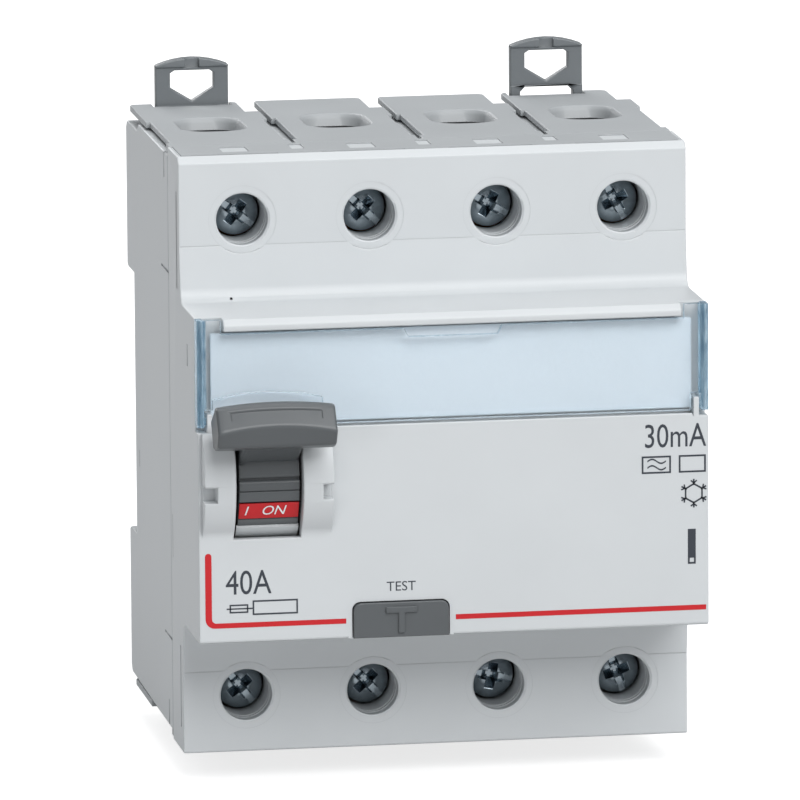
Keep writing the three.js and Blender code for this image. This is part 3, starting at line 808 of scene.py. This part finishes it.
# the recess's cuts: their turn, half length, depth and half width; the crossed ones taper
RECESS = ((0, 3.6, 0.9, 0.45), (0, 2.5, 1.9, 0.85), (90, 2.5, 1.9, 0.85))
for row, _, z, _ in ROWS:
    for number, x in enumerate(POLES, 1):
        screw = bmesh.new()
        turned(screw, SCREW, (x, HEAD, z), steps=40)
        angle = Matrix.Rotation(math.radians(TURNS[row][number - 1]), 4, "Y")
        seat = Matrix.Translation(Vector((x, HEAD, z)) * MM)
        recesses = []
        for quarter, reach, deep, thick in RECESS:
            recess = bmesh.new()
            arm = block(recess, (-reach, reach), (-1, deep), (-thick, thick))
            for vert in arm:
                if vert.co.y > 0 and reach < 3:
                    vert.co.x *= 0.2
                    vert.co.z *= 0.25
            quarter_turn = Matrix.Rotation(math.radians(quarter), 4, "Y")
            bmesh.ops.transform(recess, matrix=seat @ angle @ quarter_turn, verts=recess.verts)
            recesses.append(recess)
        screw = carved(screw, *recesses)
        rounded(screw, 0.05, 1, angle=35.0, where=lambda p: p.y < -34.5)
        piece(
            f"screw_{row}_{number}",
            screw,
            ZINC,
            f"screw_{row}_{number}",
            [f"terminal_screw_{row}_{number}"],
            sharp=30.0,
        )

# ------------------------------------------------------------------ clamp cages
# A folded and zinc plated steel cage round each terminal bar, which the screw pulls forward
# to clamp the cable.

CAGE = plated("Zinc plated cage", (0.62, 0.64, 0.66), 0.26, 900.0, 0.25)
for row, *_ in ROWS:
    for number in (1, 2, 3, 4):
        cage = merged(f"clamp_cage_{row}_{number}")
        rounded(cage, 0.25, 2)
        piece(
            f"cage_{row}_{number}",
            cage,
            CAGE,
            f"cage_{row}_{number}",
            [f"clamp_cage_{row}_{number}"],
        )

# ------------------------------------------------------------------ printing on the nose
# Pad printed marks, a few hundredths of a millimetre thick: a red rule round the foot, the
# rated current, the residual current, the test mark and plain symbols.

RED_INK = plastic("Red print", (0.56, 0.008, 0.014), 0.5, grain=9000.0, bump=0.05)
DARK_INK = plastic("Dark print", (0.035, 0.042, 0.055), 0.5, grain=9000.0, bump=0.05)
INK = (NOSE - 0.03, NOSE + 0.01)


def ruled(name, bars, look):
    """Printed bars, each given as x and z ranges."""
    shape = bmesh.new()
    for x, z in bars:
        block(shape, x, INK, z)
    return piece(name, shape, look, "root", [])


def frame_of(x, z, line):
    """Four bars that make a plain box."""
    return [
        (x, (z[0], z[0] + line)),
        (x, (z[1] - line, z[1])),
        ((x[0], x[0] + line), (z[0] + line, z[1] - line)),
        ((x[1] - line, x[1]), (z[0] + line, z[1] - line)),
    ]


def arc(u, v, radius, start, end, steps=6):
    """Points along an arc, from one angle to another in degrees."""
    angles = (math.radians(start + (end - start) * n / steps) for n in range(steps + 1))
    return [(u + radius * math.cos(a), v + radius * math.sin(a)) for a in angles]


bend = [
    *arc(-34.3, -11.75, 0.45, 0, 180),
    *arc(-33.45, -20.5, 1.3, 180, 270),
    (-15.2, -21.8),
    (-15.2, -21.1),
    *arc(-33.25, -20.5, 0.6, 270, 180),
]
red_rule = prism_y(bend, INK)
block(red_rule, (0.1, 35.2), INK, (-21.8, -21.1))
piece("red_rule", red_rule, RED_INK, "root", [])
ruled(
    "symbol_lines",
    [
        *frame_of((-31.4, -28.8), (-19.75, -18.55), 0.2),
        ((-31.8, -28.2), (-19.24, -19.06)),
        *frame_of((-28.2, -21.9), (-20.1, -18.05), 0.22),
        *frame_of((26.2, 30.3), (-2.45, 0.0), 0.24),
        *frame_of((31.4, 35.2), (-2.45, 0.0), 0.24),
        ((32.65, 33.75), (-14.2, -10.4)),
        *frame_of((32.65, 33.75), (-15.3, -14.2), 0.25),
    ],
    DARK_INK,
)

# two wavy lines in the left box, each a bent band
wave = bmesh.new()
for height in (-0.85, -1.75):
    line = [wave.verts.new(Vector((27.0, INK[0], height)) * MM)]
    for step in range(1, 17):
        x = 27.0 + 2.6 * step / 16
        z = height + 0.3 * math.sin(step / 16 * 2 * math.pi)
        made = bmesh.ops.extrude_vert_indiv(wave, verts=[line[-1]])["verts"][0]
        made.co = Vector((x, INK[0], z)) * MM
        line.append(made)
    edges = [edge for edge in wave.edges if all(v in line for v in edge.verts)]
    band = bmesh.ops.extrude_edge_only(wave, edges=edges)
    lifted = [item for item in band["geom"] if isinstance(item, bmesh.types.BMVert)]
    bmesh.ops.translate(wave, vec=(0, 0, 0.22 * MM), verts=lifted)
bmesh.ops.recalc_face_normals(wave, faces=wave.faces)
bmesh.ops.solidify(wave, geom=wave.faces[:], thickness=0.02 * MM)
bmesh.ops.recalc_face_normals(wave, faces=wave.faces)
piece("wave_symbol", wave, DARK_INK, "root", [])
for name, words, size, x, z, across in (
    ("rated_current", "40A", 4.8, -28.75, -15.7, 0.8),
    ("residual_current", "30mA", 4.7, 30.85, 2.6, 0.77),
    ("test_mark", "TEST", 1.9, -7.5, -16.9, 1.0),
):
    spot = (x, NOSE, z)
    printed(name, words, size, spot, DARK_INK, "root", across=across)

# a frost symbol: six barbed arms round a hexagon
flake = bmesh.new()
for turn in range(6):
    arm = block(flake, (1.15, 2.0), INK, (-0.11, 0.11))
    for lean in (-50, 50):
        barb = block(flake, (0.0, 0.55), INK, (-0.1, 0.1))
        tilt = Matrix.Rotation(math.radians(lean), 3, "Y")
        bmesh.ops.rotate(flake, verts=barb, cent=(0, 0, 0), matrix=tilt)
        bmesh.ops.translate(flake, vec=(1.45 * MM, 0, 0), verts=barb)
        arm += barb
    side = block(flake, (-0.68, 0.68), INK, (-0.11, 0.11))
    upright = Matrix.Rotation(math.radians(90), 3, "Y")
    bmesh.ops.rotate(flake, verts=side, cent=(0, 0, 0), matrix=upright)
    bmesh.ops.translate(flake, vec=(1.15 * MM, 0, 0), verts=side)
    for verts, start in ((arm, 90), (side, 60)):
        spin = Matrix.Rotation(math.radians(start + 60 * turn), 3, "Y")
        bmesh.ops.rotate(flake, verts=verts, cent=(0, 0, 0), matrix=spin)
bmesh.ops.translate(flake, vec=(33.5 * MM, 0, -5.4 * MM), verts=flake.verts)
piece("frost_symbol", flake, DARK_INK, "root", [])

# ------------------------------------------------------------------ inner works
# Behind the cover: steel frame, axle, link and springs, the black contact carrier, copper
# terminals and conductors, silver contacts, and the trip's core, winding and relay, all in
# the CAD's shapes.

STEEL = plated("Bright steel", (0.56, 0.57, 0.58), 0.24, 1100.0, 0.2)
COPPER = plated("Copper bar", (0.72, 0.36, 0.22), 0.24, 1000.0, 0.24)
SILVER = plated("Silvered contact", (0.78, 0.78, 0.76), 0.18, 1200.0, 0.2)
BLACK = plastic("Black polyamide", (0.022, 0.023, 0.025), 0.4)
FERRITE = plastic("Wound core", (0.045, 0.047, 0.05), 0.5, grain=3000.0, bump=0.2)
LACQUER = plated("Lacquered copper wire", (0.52, 0.18, 0.07), 0.22, 2400.0, 0.2)
INNER = {
    STEEL: ["toggle_axle", "mechanism_frame", "drive_link", "opening_spring", "relay_plunger"],
    COPPER: [f"{kind}_{n}" for kind in ("line_terminal", "load_conductor") for n in (1, 2, 3, 4)],
    SILVER: [f"moving_contact_{n}" for n in (1, 2, 3, 4)],
    BLACK: ["contact_carrier", "trip_relay"],
    DARK: ["trip_bar"],
    FERRITE: ["summation_core"],
    LACQUER: ["secondary_winding", "test_resistor"],
}
for look, names in INNER.items():
    for name in names:
        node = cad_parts[name]
        node.data.materials.clear()
        node.data.materials.append(look)

spring = piece("test_return_spring", merged("test_spring"), STEEL, "root", ["test_spring"])
coil_low, coil_high = (corner.copy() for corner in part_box("test_spring"))
seat = Vector(((coil_low.x + coil_high.x) / 2, coil_high.y, (coil_low.z + coil_high.z) / 2))
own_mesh(spring)

# ------------------------------------------------------------------ camera and studio
# A plain pale floor, a large soft light from the front right, weaker ones from above and
# behind, a small low one from the left, and pale surroundings. The camera looks a little
# down on the front and shows the left flank.

low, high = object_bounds()
floor_shape = bmesh.new()
bmesh.ops.create_grid(floor_shape, x_segments=8, y_segments=8, size=4.0)
bmesh.ops.translate(floor_shape, vec=(0, 0, low.z - 0.0003), verts=floor_shape.verts)
floor_mesh = bpy.data.meshes.new("studio_floor")
floor_shape.to_mesh(floor_mesh)
floor_shape.free()
floor_look = bpy.data.materials.new("Pale floor")
floor_look.use_nodes = True
surface = floor_look.node_tree.nodes["Principled BSDF"]
surface.inputs["Base Color"].default_value = (0.5, 0.5, 0.5, 1)
surface.inputs["Roughness"].default_value = 0.9
surface.inputs["Emission Color"].default_value = (1, 1, 1, 1)
# the floor is brighter to the camera than in reflections
seen = floor_look.node_tree.nodes.new("ShaderNodeLightPath")
glow = floor_look.node_tree.nodes.new("ShaderNodeMath")
glow.operation = "MULTIPLY_ADD"
glow.inputs[1].default_value = 0.65
glow.inputs[2].default_value = 0.1
floor_look.node_tree.links.new(seen.outputs["Is Camera Ray"], glow.inputs[0])
floor_look.node_tree.links.new(glow.outputs[0], surface.inputs["Emission Strength"])
floor_mesh.materials.append(floor_look)
floor = bpy.data.objects.new("studio_floor", floor_mesh)
bpy.context.scene.collection.objects.link(floor)


def softbox(name, spot, size, power):
    """A rectangular light that faces the origin, in metres and watts."""
    light = bpy.data.lights.new(name, "AREA")
    light.shape = "RECTANGLE"
    light.size, light.size_y = size
    light.energy = power
    lamp = bpy.data.objects.new(name, light)
    lamp.location = spot
    lamp.rotation_mode = "QUATERNION"
    lamp.rotation_quaternion = (-Vector(spot)).to_track_quat("-Z", "Y")
    bpy.context.scene.collection.objects.link(lamp)


softbox("key_light", (0.45, -1.25, 1.15), (1.5, 1.2), 27.5)
softbox("low_light", (-1.0, -1.2, 0.12), (0.3, 0.3), 1.6)
softbox("back_light", (-0.5, 1.3, 0.8), (1.0, 1.0), 9.0)
softbox("top_light", (0.1, 0.25, 1.6), (1.2, 1.2), 8.0)

world = bpy.data.worlds.new("Studio")
bpy.context.scene.world = world
world.use_nodes = True
world.node_tree.nodes["Background"].inputs["Color"].default_value = (0.93, 0.96, 1.0, 1)
world.node_tree.nodes["Background"].inputs["Strength"].default_value = 0.27
bpy.context.scene.view_settings.view_transform = "Standard"

yaw, pitch, roll = (math.radians(angle) for angle in (9.443, 10.237, -0.393))
ahead = Vector(
    (math.sin(yaw) * math.cos(pitch), math.cos(yaw) * math.cos(pitch), -math.sin(pitch))
)
right = Vector((math.cos(yaw), -math.sin(yaw), 0))
up = right.cross(ahead)
rightward = math.cos(roll) * right + math.sin(roll) * up
upward = math.cos(roll) * up - math.sin(roll) * right
lens = bpy.data.cameras.new("camera")  # a long lens from far away, so little perspective
lens.sensor_width = 36.0
lens.lens = 513.2
lens.clip_start = 0.05
lens.clip_end = 50.0
camera = bpy.data.objects.new("camera", lens)
stance = Matrix((rightward, upward, -ahead)).transposed().to_4x4()
camera.matrix_world = Matrix.Translation((-0.2600, -1.5782, 0.2871)) @ stance
bpy.context.scene.collection.objects.link(camera)
bpy.context.scene.camera = camera
